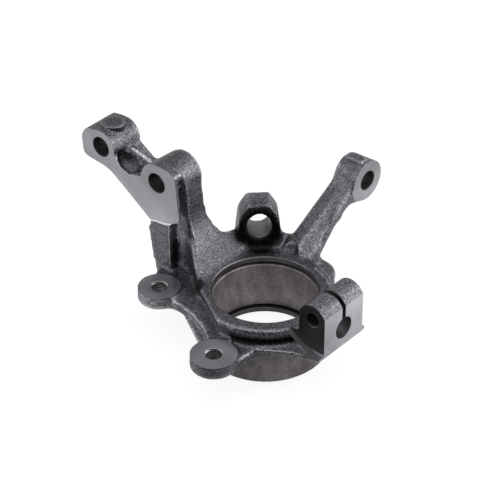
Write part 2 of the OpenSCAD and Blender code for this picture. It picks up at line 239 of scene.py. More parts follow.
def stack(bm, layers):
    """A closed solid along X through outlines of (y, z) points that correspond, given as (x, outline)."""
    rings = [[bm.verts.new((x, y, z)) for y, z in outline] for x, outline in layers]
    bm.faces.new(rings[0])
    bm.faces.new(rings[-1])
    for lower, upper in zip(rings, rings[1:]):
        for k in range(len(lower)):
            bm.faces.new((lower[k - 1], lower[k], upper[k], upper[k - 1]))


def drum(bm, place, radius, low, high, steps=64):
    """A plain cylinder along local Z from low to high."""
    bmesh.ops.create_cone(
        bm, cap_ends=True, segments=steps, radius1=radius, radius2=radius, depth=high - low,
        matrix=place @ Matrix.Translation((0, 0, (low + high) / 2)),
    )


def cut_flat(bm, level, direction):
    """Cuts away what lies beyond a level of Z, upwards or downwards."""
    bmesh.ops.bisect_plane(
        bm, geom=bm.verts[:] + bm.edges[:] + bm.faces[:], plane_co=(0, 0, level), plane_no=(0, 0, direction),
        clear_outer=True,
    )


def close_holes(bm):
    bmesh.ops.holes_fill(bm, edges=[e for e in bm.edges if e.is_boundary], sides=0)


# Levels from the record, and sizes that it doesn't hold

STRUT_X = MOUNTS["strut_face"]["pos_m"][0]
CLAMP_Y = MOUNTS["ball_joint_face"]["pos_m"][1]
CLAMP_HALF = mount_length("pinch_bolt") / 2
EAR_Z = MOUNTS["caliper_face_upper"]["pos_m"][2]
FOOT_Z = MOUNTS["outboard_face"]["pos_m"][2]
MOUTH_Z = 41 * MM

# Ring and bore, from the outboard face to the mouth
RING_R = 44.2 * MM
RING_BREAK = 1.2 * MM
TURNED_TOP = 20 * MM
LIP_R = 33.3 * MM
LIP_BREAK = 1.5 * MM
LIP_EASE = 0.4 * MM
SEAT_EASE = 0.35 * MM
RELIEF_DEPTH = 0.3 * MM
RELIEF_TOP = 0.8 * MM
GROOVE_W = 2.2 * MM
GROOVE_DEPTH = 2 * MM
MOUTH_STEP = 0.7 * MM
MOUTH_BREAK = 0.7 * MM
# How far a chamfer runs past its face
PAST = 0.1 * MM
RING_STEPS = 160

# Strut flange. The cutter's lower edge is given as (y, z) points in millimetres
CUTTER_R = 30.6 * MM
LIP_SLOPE = 1.1 * MM
CAST_EDGE = [np.array(point) for point in ((84.2, 67.4), (100.0, 62.5), (170.0, 40.8))]
CUTTER_END = (170 * MM, 130 * MM)
STRUT_BACK_R = 11.4 * MM
BACK_CUT = 0.2 * MM
PAD_R = 8.6 * MM
PAD_EDGE = 0.5 * MM
PAD_AT = (-2.6 * MM, 137 * MM, 119.3 * MM)

# Ball-joint clamp
SPOT_R = 38 * MM
SPOT_AT = (-66 * MM, 68 * MM)
SPOT_REACH = 30 * MM
FOOT_GAP = 0.05 * MM
PLATE_TOP = 31.2 * MM
SLOT_HALF = 1.8 * MM
SLOT_END = -38 * MM
CLAMP_TOP_R = 11.2 * MM

# Caliper ears, with the radius of each, and the other holes
EARS = {"caliper_bolt_upper": 14.6 * MM, "caliper_bolt_lower": 15.8 * MM}
EAR_STEP = 1.9 * MM
COUNTERSINK = 1.2 * MM
SINK_HEIGHT = 1 * MM
DRILL_DEPTH = 20 * MM
THREAD_DEPTH = 12 * MM
TAP_UNDER = 0.1 * MM
# Corners of one thread: how far out and how far along, as shares of the pitch
THREAD_FORM = ((0, 0), (0, 0.22), (0.61, 0.55), (0.61, 0.67))
THREAD_STEPS = 48
EYE_SPOT_R = 17 * MM
SENSOR_REACH = 30 * MM

# How far a cut that only changes the finish goes under another, and how far a tool reaches beyond the part
SKIM = 0.03 * MM
DEEP_SKIM = 0.04 * MM
BEYOND = 60 * MM

# What is filled in beyond the size of each hole and turned face before the skin is made
RING_FILL = 0.9 * MM
BORE_FILL = 2.4 * MM
HOLE_FILL = 0.8 * MM
THREAD_FILL = 1.2 * MM
EAR_FILL_DEPTH = 7.9 * MM


# The blank casting, with stock on every face that is machined


def faces_on(bm, normal, level, inside=lambda point: True):
    """Faces of a plane, given by its normal and its height along it, whose middle passes a test."""
    normal = Vector(normal)
    return [
        f for f in bm.faces
        if f.normal.dot(normal) > 0.9999
        and abs(f.verts[0].co.dot(normal) - level) < 0.02 * MM
        and inside(f.calc_center_median())
    ]


def add_stock(bm, faces, normal, height):
    """Raises a set of faces by the stock that machining will take off."""
    raised = bmesh.ops.extrude_face_region(bm, geom=faces)
    verts = [v for v in raised["geom"] if isinstance(v, bmesh.types.BMVert)]
    bmesh.ops.translate(bm, vec=Vector(normal) * height, verts=verts)


def blank_mesh(stock):
    """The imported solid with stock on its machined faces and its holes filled."""
    bm = bmesh.new()
    bm.from_mesh(frame["nodes"][NODE].data)
    bmesh.ops.remove_doubles(bm, verts=bm.verts, dist=0.002 * MM)
    bm.normal_update()
    eye, _ = mount_at("tie_rod_eye")
    left, right = -CLAMP_HALF, CLAMP_HALF

    add_stock(bm, faces_on(bm, (-1, 0, 0), -STRUT_X, lambda p: p.y > 0.05 and p.z > 0.05), (-1, 0, 0), stock)
    add_stock(bm, faces_on(bm, (0, -1, 0), -CLAMP_Y), (0, -1, 0), stock)
    for side in (-1, 1):
        normal = (side, 0, 0)
        add_stock(bm, faces_on(bm, normal, CLAMP_HALF, lambda p: p.y < -0.03 and p.z > PLATE_TOP), normal, stock)
    add_stock(bm, faces_on(bm, (0, 0, 1), EAR_Z, lambda p: p.x < -0.02), (0, 0, 1), stock)
    add_stock(bm, faces_on(bm, (0, -1, 0), -eye.y, lambda p: (p - eye).length < 0.02), (0, -1, 0), stock)

    centre = Matrix.Identity(4)
    drum(bm, centre, RING_R + RING_FILL, FOOT_Z - stock, TURNED_TOP - 0.5 * MM, 128)
    drum(bm, centre, mount_radius("bearing_bore") + BORE_FILL, FOOT_Z, MOUTH_Z, 128)
    for name in ("strut_bolt_lower", "strut_bolt_upper", "tie_rod_eye"):
        drum(bm, axis_frame(*mount_at(name)), mount_radius(name) + HOLE_FILL, -mount_length(name), stock)
    for name in EARS:
        drum(bm, axis_frame(*mount_at(name)), mount_radius(name) + THREAD_FILL, -EAR_FILL_DEPTH, stock)

    pinch, _ = mount_at("pinch_bolt")
    top = axis_frame((0, pinch.y, pinch.z), (1, 0, 0))
    drum(bm, top, CLAMP_TOP_R - 0.05 * MM, left - stock, right + stock, 96)
    cheeks_low = (left - stock / 2, CLAMP_Y - stock, FOOT_Z + 35 * MM)
    block(bm, cheeks_low, (right + stock / 2, pinch.y + CLAMP_TOP_R - 0.1 * MM, pinch.z))
    return bm


def sandwaves(obj, depth):
    """Waves of the sand mould on the skin, in two sizes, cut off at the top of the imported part."""
    for name, size, share in (("mould_waves", 9 * MM, 1.0), ("sand_lumps", 3.2 * MM, 0.35)):
        texture = bpy.data.textures.new(name, "CLOUDS")
        texture.noise_scale = size
        texture.noise_depth = 2
        displace = obj.modifiers.new(name, "DISPLACE")
        displace.texture = texture
        displace.texture_coords = "LOCAL"
        displace.mid_level = 0.55
        displace.strength = depth * share
    apply_modifiers(obj)
    for vertex in obj.data.vertices:
        vertex.co.z = min(vertex.co.z, CAD_BOX[1][2] - 0.05 * MM)


# The skin: fillets, forms that are dressed one by one, and painted light and shade. Places and lengths are in
# millimetres


def ramp(value, start, end):
    """Rises from 0 at the start to 1 at the end, and is flat beyond them."""
    return np.clip((value - start) / (end - start), 0, 1)


def arc(middle, radius, start, end, steps=8):
    """Points of an arc, with its angles in degrees."""
    turn = np.radians(np.linspace(start, end, steps))
    return [np.array((middle[0] + radius * math.cos(a), middle[1] + radius * math.sin(a))) for a in turn]


def depth_behind(points, line):
    """How far 2-D points lie to the right of a path, and the direction that way."""
    nearest = np.full(len(points), np.inf)
    depth = np.zeros(len(points))
    inward = np.zeros((len(points), 2))
    for start, end in zip(line, line[1:]):
        along = end - start
        length = np.linalg.norm(along)
        along = along / length
        right = np.array((along[1], -along[0]))
        offset = points - start
        reach = np.clip(offset @ along, 0, length)
        gap = np.linalg.norm(offset - reach[:, None] * along, axis=1)
        closer = gap < nearest
        nearest = np.where(closer, gap, nearest)
        depth = np.where(closer, offset @ right, depth)
        inward[closer] = right
    return depth, inward


ARM_SIDE = [np.array(point) for point in ((-27.0, 36.0), (-9.0, 60.0), (-8.0, 64.0), (-8.0, 110.0))]
ARM_FACE = [np.array((38.0, 41.0))] + arc((33.66, 76.66), 32, -56, -6) + arc((82, 97.4), 13.6, 178, 125)
ARM_BEVEL = 3.6
BEVEL_MARGIN = (1.2, 1.6)
BEVEL_WIDTH = 9
BEVEL_FOOT = (36, 40)
BEVEL_HEAD = (109, 104)
FLANGE_Y = 90
CORNER_FILL = 3.2
WALL_GAP = 1.3
WALL_Y = (64, 73.5)
WALL_FOOT = 29
WALL_LEAN_Y = (65, 72)
WALL_LEAN_Z = (71, 65)
CAST_RISE = 0.9
CAST_MARGIN = 1.4
CAST_LAYER = (4, 1)
CAST_Y = 71
CAST_Z = (34, 90)
SCOOP_AT = np.array((-9.3, 114.6, 99.4))
SCOOP_RADII = np.array((7.4, 11.5, 9.0))
SCOOP_TILT = 14.0


def lean_wall(point):
    """Leans the wall beside the strut arm out towards its foot, where the sand core left it thick."""
    x, y, z = point.T
    wall = (abs(x - ARM_SIDE[-1][0]) < WALL_GAP) & (y > WALL_Y[0]) & (y < WALL_Y[1]) & (z > WALL_FOOT)
    point[:, 0] -= np.where(wall, CORNER_FILL * ramp(y, *WALL_LEAN_Y) * ramp(z, *WALL_LEAN_Z), 0)


def bevel_arm(point):
    """Bevels the near edge of the strut arm, and fades the bevel out at both ends."""
    side, out_side = depth_behind(point[:, :2], ARM_SIDE)
    face, out_face = depth_behind(point[:, 1:], ARM_FACE)
    fade = ramp(point[:, 2], *BEVEL_FOOT) * ramp(point[:, 2], *BEVEL_HEAD)
    edge = (side > -BEVEL_MARGIN[0]) & (face > -BEVEL_MARGIN[1]) & (side < BEVEL_WIDTH) & (point[:, 1] < FLANGE_Y)
    short = np.maximum(np.where(edge, ARM_BEVEL * fade - side - face, 0), 0) / 2
    point[:, :2] += out_side * short[:, None]
    point[:, 1:] += out_face * short[:, None]


def scoop_valley(point):
    """Pushes the skin out of an ellipsoid, which leaves the scoop beside the rib of the valley."""
    turn = np.array(Matrix.Rotation(math.radians(SCOOP_TILT), 3, "X"))
    local = (point - SCOOP_AT) @ turn / SCOOP_RADII
    far = np.linalg.norm(local, axis=1)
    hollow = far < 1
    local[hollow] /= np.maximum(far[hollow], 0.2)[:, None]
    point[hollow] = (local[hollow] * SCOOP_RADII) @ turn.T + SCOOP_AT


def trim_cast_face(point):
    """Trims the cast face below the cutter's arc to one height."""
    x, y, z = point.T
    low = np.array(mount_at("strut_bolt_lower")[0]) / MM
    from_hole = np.linalg.norm(point[:, 1:] - low[1:], axis=1)
    past_edge = depth_behind(point[:, 1:], CAST_EDGE)[0] > -CAST_MARGIN
    below = np.where(y < low[1], from_hole > CUTTER_R / MM - CAST_MARGIN, past_edge)
    level = STRUT_X / MM - CAST_RISE
    near = (x > level - CAST_LAYER[0]) & (x < level + CAST_LAYER[1])
    point[below & near & (y > CAST_Y) & (z > CAST_Z[0]) & (z < CAST_Z[1]), 0] = level


def skin_points(mesh):
    co = np.empty(len(mesh.vertices) * 3)
    mesh.vertices.foreach_get("co", co)
    return co.reshape(-1, 3)


def skin_normals(mesh):
    normals = np.empty(len(mesh.vertices) * 3)
    mesh.vertices.foreach_get("normal", normals)
    return normals.reshape(-1, 3)


def skin_edges(mesh):
    """The two ends of each edge, and how many edges meet at each point."""
    edges = np.empty(len(mesh.edges) * 2, int)
    mesh.edges.foreach_get("vertices", edges)
    return edges.reshape(-1, 2), np.bincount(edges, minlength=len(mesh.vertices))


def around(values, edges, degree):
    """The mean of a value, or of each column of values, over the neighbours of each point."""
    if values.ndim > 1:
        return np.stack([around(column, edges, degree) for column in values.T], axis=1)
    total = np.bincount(edges[:, 0], values[edges[:, 1]], len(values))
    return (total + np.bincount(edges[:, 1], values[edges[:, 0]], len(values))) / degree


BASE_FILLET = 0.12
NORMAL_EVERY = 8
SETTLING_PASSES = 6
FILLETS = [
    # middle, radius of the zone, share of the full fillet
    ((0, 44, 44), 26, 1.0),
    ((24, 62, 50), 22, 1.0),
    ((-10, 71, 40), 7, 1.0),
    ((-10, 70, 52), 7, 1.0),
    ((-10, 71, 63), 6, 0.8),
    ((32, 58, 44), 9, 1.0),
    ((57, 32, 44), 9, 1.0),
    ((62, 18, 46), 18, 0.9),
    ((-16, 44, 34), 12, 0.35),
    ((12, 100, 62), 26, 0.8),
    ((-18, 123, 100), 8, 0.9),
    ((-18, 104, 95), 6, 0.9),
    ((90, 8, 66), 18, 0.8),
    ((0, -48, 36), 16, 0.35),
    ((46, -22, 30), 14, 0.5),
]


def fillet_reach(co):
    """How much each point takes part in the fillets: a little everywhere, more in the zones."""
    reach = np.full(len(co), BASE_FILLET)
    for middle, radius, share in FILLETS:
        far = np.linalg.norm(co - np.array(middle) * MM, axis=1) / (radius * MM)
        reach = np.maximum(reach, share * ramp(far, 1.5, 0.5))
    return reach


def fillet_inner_corners(mesh, passes):
    """Fills inner corners: points move out along their normals where the skin is hollow."""
    co = skin_points(mesh)
    edges, degree = skin_edges(mesh)
    reach = fillet_reach(co)[:, None]
    for step in range(passes):
        if step % NORMAL_EVERY == 0:
            mesh.vertices.foreach_set("co", co.ravel())
            mesh.update()
            away = skin_normals(mesh)
        pull = around(co, edges, degree) - co
        out = np.einsum("ij,ij->i", pull, away)[:, None]
        sideways = pull - away * out
        co = co + (away * np.maximum(out, 0) + sideways * 0.3) * 0.5 * reach
    for _ in range(SETTLING_PASSES):
        co = co + (around(co, edges, degree) - co) * reach * 0.6
    point = co / MM
    lean_wall(point)
    bevel_arm(point)
    scoop_valley(point)
    trim_cast_face(point)
    mesh.vertices.foreach_set("co", (point * MM).ravel())
    mesh.update()


def on_circle(middle, radius, height, turns):
    """Points on a level circle, at angles in degrees."""
    return [
        (middle[0] + radius * math.cos(math.radians(a)), middle[1] + radius * math.sin(math.radians(a)), height)
        for a in turns
    ]


# Painted shade in hollows and corners, and patches that lighten the skin: painted light beside the strut arm and in
# the valley, and lighter sides round the caliper ears. Each is middle, radius, strength. A patch ends at its spread
# times its radius
SPREAD = 1.6
PAINTED_SHADE_PATCHES = [
    ((39, 39.5, 56), 13, 2.6),
    ((34, 34.5, 46), 10, 2.6),
    ((27, 43, 53), 8, 2.6),
    ((42, 28, 53), 8, 2.2),
    ((-12, 71, 50), 4, 1.4),
    ((-12, 70.5, 41), 5, 1.6),
    ((-22, 43, 35), 7, 1.8),
    ((-26, 37, 40), 3.6, 2.6),
    ((-23, 40, 38), 3.6, 2.6),
    ((-50.7, -24.1, 31.5), 1.3, 3),
    ((-2, 139, 119), 14, 1.0),
    ((-2, 86, 112), 12, 0.8),
    ((110, 10, 89), 12, 0.6),
    ((52, 9, 41), 7, 0.7),
    ((-18, 48, 34), 6, 1.4),
]
# Painted shade along the step of the rim
RIM_STEP_PAINTED_SHADE = [(place, 3.4, 2.0) for place in on_circle((0, 0), 50, 36.2, range(192, 300, 4))]
# Painted shade along the near edge of the strut arm
ARM_EDGE_PAINTED_SHADE = [
    (place, 1.9, 1.6) for place in (
        (-25.5, 38, 40), (-24, 40, 41.5), (-22.5, 42, 43), (-21, 44, 44.5), (-19.5, 46, 46), (-18, 48, 48),
        (-16.5, 50, 50), (-15, 52, 51.8), (-13.5, 54, 53.6), (-12, 56, 55.5), (-10.5, 58, 58), (-9.4, 60, 60.5),
        (-8.6, 61.5, 62.5), (-8, 62.7, 65), (-8, 64, 68), (-8, 65, 71), (-8, 65.5, 74), (-8, 66, 77),
        (-8, 66.5, 80), (-8, 67, 84), (-8, 67.5, 88), (-8, 68, 92), (-8, 68.5, 96),
    )
]
# Painted light on the wall beside the strut arm and in the valley
PAINTED_LIGHT_PATCHES = [((-8, 69.5, height), 3.4, 1.0) for height in range(34, 74, 4)] + [((-9, 114, 96), 10, 0.5)]


def lighter_ear_sides():
    """Light patches round the sides of the two caliper ears."""
    return [
        (place, 5, 0.13)
        for name, radius in EARS.items()
        for place in on_circle(np.array(MOUNTS[name]["pos_m"]) / MM, radius / MM, 27, range(165, 300, 15))
    ]


# Painted highlights as bright lines on the rim: radius at the first angle, its change per degree, half width, first
# and last angle
BACK_LINE = (47.2, 0.0, 0.9, 50, 140)
BACK_LINE_Z = 42
BACK_LINE_REACH = 2
BACK_PAINTED_HIGHLIGHT = 0.1
RIGHT_LINE = (44.18, -0.08, 0.7, 312, 346)
RIGHT_PAINTED_HIGHLIGHT = 0.14

# The flat top of the rim, which lies in shade inside a radius
MOUTH_REACH = 0.8 * MM
MOUTH_SHADE = 0.75
MOUTH_SHADE_R = 46.6
HOLLOW_PASSES = 70
HOLLOW_SHARE = 0.4


def rim_line(radius, turn, start, slope, half_width, first, last):
    """A line along the rim, 1 in its middle, whose radius changes with each degree between two angles."""
    middle = start + slope * (turn - first)
    return np.exp(-((radius - middle) / half_width) ** 2) * (turn > first) * (turn < last)


def bulge_for_painted_light(co, normals, edges, degree):
    """How sharply the skin bulges at each point, per millimetre, and below 0 where it is hollow."""
    bulge = np.zeros(len(co))
    span = np.linalg.norm(co[edges[:, 1]] - co[edges[:, 0]], axis=1)
    for here, there in ((0, 1), (1, 0)):
        step = co[edges[:, there]] - co[edges[:, here]]
        drop = -np.einsum("ij,ij->i", step, normals[edges[:, here]]) / np.maximum(span, 1e-6) ** 2
        bulge += np.bincount(edges[:, here], drop, len(co))
    bulge = bulge / degree * MM
    for _ in range(2):
        bulge = 0.5 * bulge + 0.5 * around(bulge, edges, degree)
    return bulge


def hollow_for_painted_shade(co, normals, edges, degree):
    """How deep each point lies in a hollow of the form, in millimetres: how far much smoothing would lift it."""
    smooth = co
    for _ in range(HOLLOW_PASSES):
        smooth = 0.3 * smooth + 0.7 * around(smooth, edges, degree)
    return np.einsum("ij,ij->i", smooth - co, normals) / MM


def paint_light_and_shade(mesh):
    """Stores two values at each point of the skin: one for painted highlights on bulging edges and on rim lines, and
    one for painted shade in the hollows, which paints light where it is below zero.
    """
    co, normals = skin_points(mesh), skin_normals(mesh)
    edges, degree = skin_edges(mesh)
    bulge = bulge_for_painted_light(co, normals, edges, degree)
    depth = hollow_for_painted_shade(co, normals, edges, degree) * HOLLOW_SHARE

    point = co / MM
    from_axis = np.linalg.norm(point[:, :2], axis=1)
    turn = np.degrees(np.arctan2(point[:, 1], point[:, 0])) % 360
    mouth = abs(co[:, 2] - MOUTH_Z) < MOUTH_REACH
    depth = np.where(mouth & (from_axis < MOUTH_SHADE_R), np.maximum(depth, MOUTH_SHADE), depth)
    # Painted highlights: bright lines along the rim
    back = rim_line(from_axis, turn, *BACK_LINE) * (abs(point[:, 2] - BACK_LINE_Z) < BACK_LINE_REACH)
    right = rim_line(from_axis, turn, *RIGHT_LINE) * mouth
    bulge = np.maximum(bulge, np.maximum(BACK_PAINTED_HIGHLIGHT * back, RIGHT_PAINTED_HIGHLIGHT * right))
    depth = np.where(right > 0.3, 0, depth)

    # Painted shade in the listed patches; it also dims the painted highlights there
    for middle, radius, share in PAINTED_SHADE_PATCHES + RIM_STEP_PAINTED_SHADE + ARM_EDGE_PAINTED_SHADE:
        painted_shade = share * np.clip(SPREAD - np.linalg.norm(point - np.array(middle), axis=1) / radius, 0, 1)
        depth = np.maximum(depth, painted_shade)
        bulge = np.where(bulge > 0, bulge * np.clip(SPREAD - painted_shade, 0, 1), bulge)
    # Patches that lift the painted shade and lighten the skin
    for middle, radius, share in PAINTED_LIGHT_PATCHES + lighter_ear_sides():
        far = np.linalg.norm(point - np.array(middle), axis=1) / radius
        depth = np.minimum(depth, depth * np.clip(far, 0, 1) - share * np.clip(SPREAD - far, 0, 1))
    for name, values in (("bulge_for_painted_light", bulge), ("hollow_for_painted_shade", depth)):
        layer = mesh.attributes.new(name, "FLOAT", "POINT")
        layer.data.foreach_set("value", np.clip(values, -3, 3).astype(np.float32))


# The cutters that machine the blank


def thread_cutter(bm, place, minor, depth, pitch):
    """A tap: a zigzag profile that climbs one pitch in each turn, trimmed flat at both ends."""
    turns = int(depth / pitch) + 4
    start = -depth - 2.5 * pitch
    profile = [
        (minor + out * pitch, start + (turn + along) * pitch) for turn in range(turns) for out, along in THREAD_FORM
    ]
    profile.append((minor, start + turns * pitch))
    verts = [bm.verts.new((r, 0, z)) for r, z in profile]
    edges = [bm.edges.new(pair) for pair in zip(verts, verts[1:])]
    bmesh.ops.spin(
        bm, geom=verts + edges, cent=(0, 0, 0), axis=(0, 0, 1), dvec=(0, 0, pitch / THREAD_STEPS),
        angle=2 * math.pi, steps=THREAD_STEPS, use_merge=False,
    )
    bmesh.ops.remove_doubles(bm, verts=bm.verts, dist=1e-6)
    cut_flat(bm, -depth, -1)
    cut_flat(bm, -0.05 * pitch, 1)
    close_holes(bm)
    bmesh.ops.recalc_face_normals(bm, faces=bm.faces)
    bmesh.ops.transform(bm, matrix=place, verts=bm.verts)


def mouth_profile(radius):
    """The end of a profile that leaves the ring by its mouth, with the mouth's chamfer."""
    return [
        (radius, MOUTH_Z + PAST - MOUTH_BREAK), (radius + MOUTH_BREAK, MOUTH_Z + PAST),
        (radius + MOUTH_BREAK, MOUTH_Z + 6 * MM), (0, MOUTH_Z + 6 * MM),
    ]


def turn_ring(tool):
    """The lathe's work. The cuts after the first one only give their places another finish, or ease a corner."""
    centre = Matrix.Identity(4)
    bore, seat = mount_radius("bearing_bore"), mount_length("bearing_bore")
    mouth, groove_top = bore + MOUTH_STEP, seat + GROOVE_W
    wall = [
        (0, FOOT_Z - BEYOND), (BEYOND, FOOT_Z - BEYOND), (BEYOND, TURNED_TOP), (RING_R, TURNED_TOP),
        (RING_R, FOOT_Z + RING_BREAK), (RING_R - RING_BREAK, FOOT_Z),
    ]
    lip = [
        (LIP_R + LIP_BREAK, FOOT_Z), (LIP_R, FOOT_Z + LIP_BREAK), (LIP_R, -LIP_EASE), (LIP_R + LIP_EASE, 0),
    ]
    inside = [
        (bore, 0), (bore, seat - SEAT_EASE), (bore + SEAT_EASE, seat), (bore + GROOVE_DEPTH, seat),
        (bore + GROOVE_DEPTH, groove_top), (mouth, groove_top),
    ]
    lathe(tool("ring_lathe", "turned"), wall + lip + inside + mouth_profile(mouth), centre, RING_STEPS)
    drum(tool("snap_ring_groove", "grooved"), centre, bore + GROOVE_DEPTH + DEEP_SKIM, seat, groove_top, RING_STEPS)
    start = [(0, seat + 1 * MM), (mouth + SKIM, seat + 1 * MM)]
    lathe(tool("bore_mouth", "lipped"), start + mouth_profile(mouth + SKIM), centre, RING_STEPS)
    shoulder = [
        (0, FOOT_Z + LIP_BREAK - PAST), (LIP_R + SKIM, FOOT_Z + LIP_BREAK - PAST), (LIP_R + SKIM, -LIP_EASE),
        (LIP_R + LIP_EASE + SKIM, -SKIM), (bore - RELIEF_DEPTH, -SKIM), (bore - RELIEF_DEPTH, 1 * MM), (0, 1 * MM),
    ]
    lathe(tool("bore_shoulder", "lipped"), shoulder, centre, RING_STEPS)
    drum(tool("bore_relief", "grooved"), centre, bore + RELIEF_DEPTH, -RELIEF_DEPTH, RELIEF_TOP, RING_STEPS)


def mill_strut(tool, stock):
    """Faces the strut flange. The cutter's lower edge leans back, so it leaves a lip."""
    low, _ = mount_at("strut_bolt_lower")
    layers = []
    for depth, grown in ((3 * stock, LIP_SLOPE), (LIP_SLOPE, LIP_SLOPE), (0, 0)):
        sweep = [point * MM for point in arc(Vector(low.yz) / MM, (CUTTER_R + grown) / MM, 180, 270, 31)]
        sweep += [point * MM - np.array((0, grown)) for point in CAST_EDGE[1:]]
        sweep += [CUTTER_END, (low.y - CUTTER_R - grown, CUTTER_END[1])]
        layers.append((STRUT_X - depth, sweep))
    stack(tool("strut_mill", "faced"), layers)


def mill_clamp(tool, stock):
    """Faces the clamp's front and, with a round cutter on each side, its cheeks and the foot below them."""
    # The front takes a brighter copy of the milled colour, as painted light
    block(tool("clamp_mill", "painted_light_front"), (-40 * MM, CLAMP_Y - 3 * stock, 20 * MM), (40 * MM, CLAMP_Y, 90 * MM))
    y, z = SPOT_AT
    for name, side in (("left", -1), ("right", 1)):
        # The cheeks take a near-black copy of the milled colour, as painted shade
        cheek = tool("clamp_spot_" + name, "painted_shade_sides")
        drum(cheek, axis_frame((0, y, z), (side, 0, 0)), SPOT_R, CLAMP_HALF, CLAMP_HALF + SPOT_REACH, 128)
        cut_flat(cheek, PLATE_TOP, -1)
        close_holes(cheek)
        foot = tool("clamp_foot_" + name, "milled")
        place = axis_frame((0, y, z - DEEP_SKIM), (side, 0, 0))
        drum(foot, place, SPOT_R, CLAMP_HALF + FOOT_GAP, CLAMP_HALF + SPOT_REACH, 128)


def drill_holes(tool, stock, chamfer):
    """Drills, reams and slots, with each hole's size and place from the record."""

    def hole(mount, name, finish, broken, depth=None):
        profile = hole_profile(mount_radius(mount), depth or mount_length(mount), broken, 2 * stock)
        lathe(tool(name, finish), profile, axis_frame(*mount_at(mount)))

    for name in ("strut_bolt_lower", "strut_bolt_upper"):
        depth = mount_length(name)
        hole(name, name, "drilled", chamfer)
        back = tool(name + "_back", "milled")
        drum(back, axis_frame(*mount_at(name)), STRUT_BACK_R, -depth - 2 * stock, -depth + BACK_CUT)
    hole("tie_rod_eye", "tie_rod_eye", "drilled", chamfer)
    hole("speed_sensor_hole", "sensor_hole", "reamed", 0, SENSOR_REACH)
    hole("ball_joint_stud", "stud_bore", "reamed", 0)
    stud, _ = mount_at("ball_joint_stud")
    slot = tool("clamp_slot", "drilled")
    block(slot, (-SLOT_HALF, CLAMP_Y - 2 * stock, stud.z), (SLOT_HALF, SLOT_END, stud.z + 50 * MM))
    hole("pinch_bolt", "pinch_bolt", "drilled", chamfer)


def tap_ears(tool, pitch):
    """Drills, countersinks and taps the two caliper ears."""
    for name in EARS:
        at, axis = mount_at(name)
        place = axis_frame((at.x, at.y, EAR_Z), axis)
        radius = mount_radius(name)
        drill = [
            (0, -DRILL_DEPTH), (radius, -DRILL_DEPTH), (radius, PAST - SINK_HEIGHT), (radius + COUNTERSINK, PAST),
            (radius + COUNTERSINK, 3 * MM), (0, 3 * MM),
        ]
        lathe(tool(name + "_drill", "threaded"), drill, place, 48)
        thread_cutter(tool(name + "_tap", "grooved"), place, radius - TAP_UNDER, THREAD_DEPTH, pitch)


def cutters(settings, finishes):
    """Every tool that touches the blank, as (name, bmesh, finish), in the order of work."""
    stock = settings.stock
    work = []

    def tool(name, finish):
        bm = bmesh.new()
        work.append((name, bm, finishes[finish]))
        return bm

    turn_ring(tool)
    mill_strut(tool, stock)
    mill_clamp(tool, stock)
    for name, radius in EARS.items():
        at, axis = mount_at(name)
        spot = tool(name + "_spot", "spotted")
        drum(spot, axis_frame((at.x, at.y, EAR_Z), axis), radius + EAR_STEP, 0, 3 * stock, 96)
    drum(tool("eye_spot", "milled"), axis_frame(*mount_at("tie_rod_eye")), EYE_SPOT_R, 0, 3 * stock, 96)
    drill_holes(tool, stock, settings.edge_break)
    tap_ears(tool, settings.thread_pitch)
    return work


def machine(blank, settings, finishes):
    """Takes each cutter from the blank in turn, and leaves its finish on the faces that it makes."""
    for name, bm, finish in cutters(settings, finishes):
        bmesh.ops.recalc_face_normals(bm, faces=bm.faces)
        before = len(blank.data.polygons)
        combine(blank, object_from(bm, name, [finish]), "DIFFERENCE")
        if len(blank.data.polygons) < before * 0.3:
            raise RuntimeError(f"{name} took away far more than its cut")


def raised_pad(skin, painted_highlight, shaded):
    """The flat pad on the upper strut boss: cast top, a painted highlight on its edge and painted shade on its wall.
    """
    bm = bmesh.new()
    profile = [
        (0, -7 * MM), (PAD_R, -7 * MM), (PAD_R, -PAD_EDGE), (PAD_R - 0.3 * PAD_EDGE, -0.3 * PAD_EDGE),
        (PAD_R - PAD_EDGE, 0), (0, 0),
    ]
    lathe(bm, profile, Matrix.Translation(PAD_AT))
    for face in bm.faces:
        face.material_index = 0 if face.normal.z > 0.95 else 1 if face.normal.z > 0.2 else 2
    return object_from(bm, "raised_pad", [skin, painted_highlight, shaded])


# Finishes


def new_material(name):
    """An empty node material, its tree and the socket that shows what is joined to it."""
    material = bpy.data.materials.new(name)
    material.use_nodes = True
    tree = material.node_tree
    tree.nodes.clear()
    return material, tree, tree.nodes.new("ShaderNodeOutputMaterial").inputs[0]


def add(tree, kind, **values):
    """Adds a node, sets its properties and its unlinked inputs, and joins the inputs that are given a socket."""
    node = tree.nodes.new("ShaderNode" + kind)
    for key, value in values.items():
        if hasattr(node, key) and key not in node.inputs:
            setattr(node, key, value)
    for key, value in values.items():
        socket = node.inputs.get(key) or node.inputs.get(key.replace("_", " "))
        if socket is not None:
            put(tree, value, socket)
    return node


def put(tree, value, socket):
    """Gives an input a value, or joins it to the socket that the value comes from."""
    if isinstance(value, bpy.types.NodeSocket):
        tree.links.new(value, socket)
    else:
        socket.default_value = value


def object_place(tree):
    return add(tree, "TexCoord").outputs["Object"]


def noise(tree, where, scale, detail, rough):
    return add(tree, "TexNoise", Vector=where, Scale=scale, Detail=detail, Roughness=rough).outputs["Fac"]


def remap(tree, value, low, high, to_low, to_high):
    node = tree.nodes.new("ShaderNodeMapRange")
    for socket, given in zip(node.inputs, (value, low, high, to_low, to_high)):
        put(tree, given, socket)
    return node.outputs[0]


def calc(tree, operation, first, second):
    node = tree.nodes.new("ShaderNodeMath")
    node.operation = operation
    for socket, value in zip(node.inputs, (first, second)):
        put(tree, value, socket)
    return node.outputs[0]


